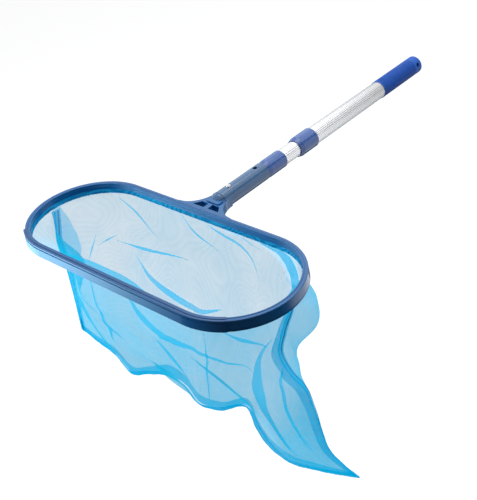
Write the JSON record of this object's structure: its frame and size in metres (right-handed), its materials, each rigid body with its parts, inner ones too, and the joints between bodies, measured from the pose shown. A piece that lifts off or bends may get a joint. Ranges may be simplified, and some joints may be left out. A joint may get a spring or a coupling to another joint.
{
  "type": "leaf skimmer net",
  "caption": "Leaf skimmer net with a deep fine-mesh bag on a rounded blue rim, and a twist-lock telescopic aluminium pole with a blue hand grip",
  "frame": {"origin": "the middle of the hand grip, on the pole's axis", "axes": "-Y runs along the pole to the net, +X along the rim's long side, +Z out of the net's opening"},
  "size_m": [0.5397, 0.7178, 0.293],
  "materials": {
    "navy_plastic": "glossy moulded navy blue",
    "lip_plastic": "glossy extruded blue",
    "socket_plastic": "glossy moulded slate blue",
    "collar_plastic": "glossy moulded royal blue",
    "grip_plastic": "satin ribbed royal blue",
    "white_plastic": "glossy white",
    "black_plastic": "satin black",
    "steel": "brushed stainless",
    "drawn_aluminium": "finely fluted, anodised",
    "hem_fabric": "woven polyester tape",
    "cord_fabric": "braided polyester",
    "mesh_fabric": "fine open nylon mesh",
    "binding_fabric": "woven polyester binding"
  },
  "bodies": {
    "handle": {"outer_tube": "drawn_aluminium", "outer_collar": "collar_plastic", "outer_guide_bush": "white_plastic", "grip": "grip_plastic", "tube_bung": "black_plastic"},
    "mid_lock": {"mid_expander": "white_plastic"},
    "mid_section": {"mid_tube": "drawn_aluminium", "mid_collar": "socket_plastic", "mid_guide_bush": "white_plastic", "mid_plug": "black_plastic", "mid_lock_screw": "steel"},
    "inner_lock": {"inner_expander": "white_plastic"},
    "head": {"inner_tube": "drawn_aluminium", "inner_plug": "black_plastic", "inner_lock_screw": "steel", "spring_clip": "steel", "handle_socket": "socket_plastic", "rim_frame": "navy_plastic", "front_lip": "lip_plastic", "net_hem": "hem_fabric", "hem_cord": "cord_fabric", "net_bag": "mesh_fabric", "seam_binding": "binding_fabric"},
    "upper_button": {"button_upper": "white_plastic"},
    "lower_button": {"button_lower": "white_plastic"}
  },
  "joints": [
    {"name": "mid_slide", "type": "slide", "parent": "handle", "child": "mid_lock", "axis": [0, -1, 0], "range_m": [-0.0328, 0.179]},
    {"name": "mid_twist", "type": "hinge", "parent": "mid_lock", "child": "mid_section", "pos_m": [0, 0, 0], "axis": [0, -1, 0], "range_deg": [-90, 90]},
    {"name": "inner_slide", "type": "slide", "parent": "mid_section", "child": "inner_lock", "axis": [0, -1, 0], "range_m": [0, 0.188]},
    {"name": "inner_twist", "type": "hinge", "parent": "inner_lock", "child": "head", "pos_m": [0, 0, 0], "axis": [0, -1, 0], "range_deg": [-90, 90]},
    {"name": "upper_press", "type": "slide", "parent": "head", "child": "upper_button", "axis": [0, 0, -1], "range_m": [0, 0.0048], "stiffness_N_per_m": 600, "springref_m": -0.006, "deforming": ["spring_clip"]},
    {"name": "lower_press", "type": "slide", "parent": "head", "child": "lower_button", "axis": [0, 0, 1], "range_m": [0, 0.0048], "stiffness_N_per_m": 600, "springref_m": -0.006, "deforming": ["spring_clip"]}
  ]
}
